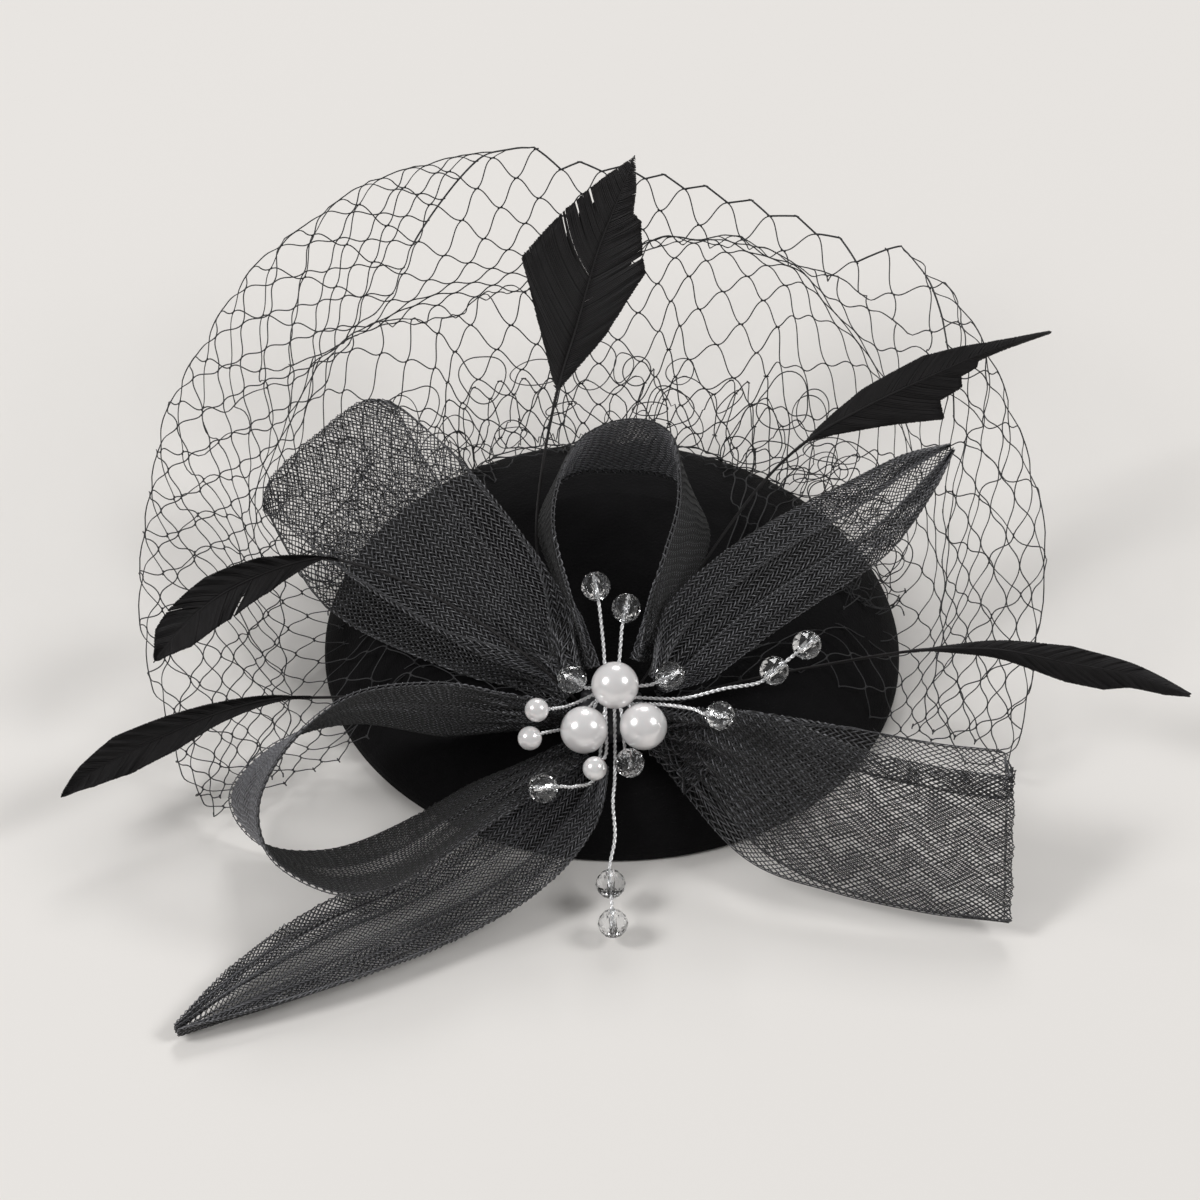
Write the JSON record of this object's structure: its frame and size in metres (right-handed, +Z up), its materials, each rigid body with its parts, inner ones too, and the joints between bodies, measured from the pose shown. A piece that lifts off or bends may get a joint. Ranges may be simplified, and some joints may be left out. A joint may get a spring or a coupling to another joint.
{
  "type": "fascinator headpiece",
  "caption": "Saucer fascinator: felt base with stiffened shell, braid bow with loops and a tail, net veil, trimmed feathers, wired pearl and crystal spray, sprung forked hair clip.",
  "frame": {"origin": "middle of the base in the plane of its rim, on the surface it stands on", "axes": "+Z up out of the crown, -Y towards the front where the bow is sewn, +X to the right seen from the front"},
  "size_m": [0.2517, 0.2281, 0.0704],
  "materials": {
    "felt": "smooth napped black felt",
    "buckram": "stiffened open weave, black",
    "rim_steel": "drawn wire",
    "lining_cloth": "plain black lining cloth",
    "clip_steel": "nickel plated sheet",
    "net": "knotted black thread",
    "braid": "glossy horsehair braid, open weave",
    "feather": "trimmed black feather with fine barbs",
    "pearl": "pearl coating",
    "crystal": "cut and polished, clear",
    "silver_wire": "bright silver"
  },
  "bodies": {
    "headpiece": {"felt_cover": "felt", "buckram_base": "buckram", "rim_wire": "rim_steel", "lining": "lining_cloth", "clip_patch": "felt", "clip_plate": "clip_steel", "clip_pin": "clip_steel", "clip_spring": "clip_steel", "veil_right": "net", "veil_rear": "net", "veil_left": "net", "braid_knot": "braid", "loop_upper_left": "braid", "loop_top": "braid", "leaf_upper_right": "braid", "loop_lower_right": "braid", "loop_lower_left": "braid", "tail_lower_left": "braid", "feather_top": "feather", "feather_upper_right": "feather", "feather_right": "feather", "feather_upper_left": "feather", "feather_lower_left": "feather", "spray_core": "silver_wire", "pearl_top": "pearl", "pearl_right": "pearl", "pearl_left": "pearl", "seed_upper": "pearl", "seed_lower": "pearl", "seed_front": "pearl", "crystal_top_left": "crystal", "crystal_top_right": "crystal", "crystal_left": "crystal", "crystal_right": "crystal", "crystal_far_outer": "crystal", "crystal_far_inner": "crystal", "crystal_low_right": "crystal", "crystal_front": "crystal", "crystal_low_left": "crystal", "crystal_hanging": "crystal", "crystal_drop": "crystal", "stem_pearl_top": "silver_wire", "stem_pearl_right": "silver_wire", "stem_pearl_left": "silver_wire", "stem_seed_upper": "silver_wire", "stem_seed_lower": "silver_wire", "stem_seed_front": "silver_wire", "stem_top_left": "silver_wire", "stem_top_right": "silver_wire", "stem_left": "silver_wire", "stem_right": "silver_wire", "stem_far": "silver_wire", "stem_low_right": "silver_wire", "stem_front": "silver_wire", "stem_low_left": "silver_wire", "stem_hanging": "silver_wire"},
    "clip_lever": {"clip_prongs": "clip_steel"}
  },
  "joints": [
    {"name": "clip_hinge", "type": "hinge", "parent": "headpiece", "child": "clip_lever", "pos_m": [-0.009, 0, 0.0096], "axis": [0, 1, 0], "range_deg": [0, 18], "stiffness_Nm_per_rad": 0.02, "springref_deg": -20.05}
  ]
}
